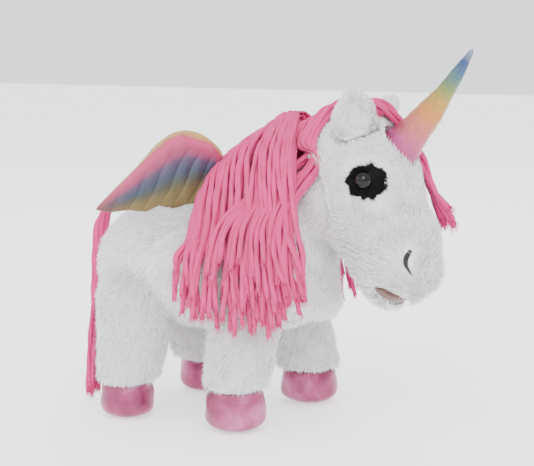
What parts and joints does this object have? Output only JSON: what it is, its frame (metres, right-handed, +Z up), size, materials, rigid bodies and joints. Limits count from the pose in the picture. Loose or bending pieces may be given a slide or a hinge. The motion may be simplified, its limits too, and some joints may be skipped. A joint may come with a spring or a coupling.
{
  "type": "plush unicorn",
  "caption": "Standing soft plush toy unicorn with stuffed body, fabric horn, rainbow wings, foil hooves, yarn mane and tail, plastic safety eyes.",
  "frame": {"origin": "on the ground under the middle of the overall length and width", "axes": "+X towards the nose, +Y towards the unicorn's left, +Z up"},
  "size_m": [0.4046, 0.2109, 0.3716],
  "materials": {
    "plush": "short white pile, combed, slightly clumped",
    "fill": "loose polyester fibre",
    "foil": "metallic pink foil fabric",
    "horn_foil": "iridescent foil fabric, pink to blue up the horn",
    "wing_satin": "rainbow satin with pressed feather channels",
    "yarn": "twisted pink cotton yarn",
    "tape": "woven cotton tape",
    "patch": "black short pile",
    "eye": "polished black",
    "washer": "moulded",
    "stitch": "black satin stitch",
    "suede": "short brown pink nap",
    "ear_lining": "very short white nap"
  },
  "bodies": {
    "torso": {"torso_skin": "plush", "torso_stuffing": "fill", "mane_tape": "tape", "mane_right": "yarn", "mane_left": "yarn"},
    "neck": {"neck_stuffing": "fill"},
    "head": {"head_skin": "plush", "head_stuffing": "fill", "mouth_lining": "suede", "horn_cover": "horn_foil", "horn_stuffing": "fill", "eye_patch_right": "patch", "eye_right": "eye", "eye_washer_right": "washer", "nostril_right": "stitch", "eye_patch_left": "patch", "eye_left": "eye", "eye_washer_left": "washer", "nostril_left": "stitch", "crown_mane": "yarn", "forelock": "yarn"},
    "ear_right": {"ear_outer_right": "plush", "ear_lining_right": "ear_lining"},
    "ear_left": {"ear_outer_left": "plush", "ear_lining_left": "ear_lining"},
    "wing_right": {"wing_cover_right": "wing_satin", "wing_padding_right": "fill"},
    "wing_left": {"wing_cover_left": "wing_satin", "wing_padding_left": "fill"},
    "tail": {"tail_yarn": "yarn", "tail_binding": "tape"},
    "leg_front_right": {"leg_skin_front_right": "plush", "hoof_cover_front_right": "foil", "leg_stuffing_front_right": "fill"},
    "leg_front_left": {"leg_skin_front_left": "plush", "hoof_cover_front_left": "foil", "leg_stuffing_front_left": "fill"},
    "leg_rear_right": {"leg_skin_rear_right": "plush", "hoof_cover_rear_right": "foil", "leg_stuffing_rear_right": "fill"},
    "leg_rear_left": {"leg_skin_rear_left": "plush", "hoof_cover_rear_left": "foil", "leg_stuffing_rear_left": "fill"}
  },
  "joints": [
    {"name": "head_nod", "type": "hinge", "parent": "torso", "child": "neck", "pos_m": [0.067, 0, 0.2275], "axis": [0, 1, 0], "range_deg": [-12, 10], "stiffness_Nm_per_rad": 6},
    {"name": "head_turn", "type": "hinge", "parent": "neck", "child": "head", "pos_m": [0.067, 0, 0.2275], "axis": [0, 0, 1], "range_deg": [-12, 12], "stiffness_Nm_per_rad": 4},
    {"name": "ear_fold_right", "type": "hinge", "parent": "head", "child": "ear_right", "pos_m": [0.102, -0.032, 0.29517], "axis": [0.7071, 0.6645, 0.2418], "range_deg": [-12, 15], "stiffness_Nm_per_rad": 0.05},
    {"name": "ear_fold_left", "type": "hinge", "parent": "head", "child": "ear_left", "pos_m": [0.102, 0.032, 0.29517], "axis": [0.7071, -0.4353, 0.5572], "range_deg": [-12, 15], "stiffness_Nm_per_rad": 0.05},
    {"name": "leg_swing_front_right", "type": "hinge", "parent": "torso", "child": "leg_front_right", "pos_m": [-0.003, -0.052, 0.114], "axis": [0, 1, 0], "range_deg": [-10, 10], "stiffness_Nm_per_rad": 8},
    {"name": "leg_swing_front_left", "type": "hinge", "parent": "torso", "child": "leg_front_left", "pos_m": [-0.003, 0.052, 0.114], "axis": [0, 1, 0], "range_deg": [-10, 10], "stiffness_Nm_per_rad": 8},
    {"name": "leg_swing_rear_right", "type": "hinge", "parent": "torso", "child": "leg_rear_right", "pos_m": [-0.125, -0.05, 0.119], "axis": [0, 1, 0], "range_deg": [-10, 10], "stiffness_Nm_per_rad": 8},
    {"name": "leg_swing_rear_left", "type": "hinge", "parent": "torso", "child": "leg_rear_left", "pos_m": [-0.125, 0.05, 0.119], "axis": [0, 1, 0], "range_deg": [-10, 10], "stiffness_Nm_per_rad": 8},
    {"name": "wing_flap_right", "type": "hinge", "parent": "torso", "child": "wing_right", "pos_m": [-0.064, -0.032, 0.221], "axis": [-0.9305, -0.3387, -0.1392], "range_deg": [-36, 18], "stiffness_Nm_per_rad": 0.6},
    {"name": "wing_flap_left", "type": "hinge", "parent": "torso", "child": "wing_left", "pos_m": [-0.064, 0.032, 0.221], "axis": [0.9305, -0.3387, 0.1392], "range_deg": [-24, 30], "stiffness_Nm_per_rad": 0.6},
    {"name": "tail_swing", "type": "hinge", "parent": "torso", "child": "tail", "pos_m": [-0.1645, 0, 0.2005], "axis": [1, 0, 0], "range_deg": [-5, 15], "stiffness_Nm_per_rad": 0.3}
  ]
}
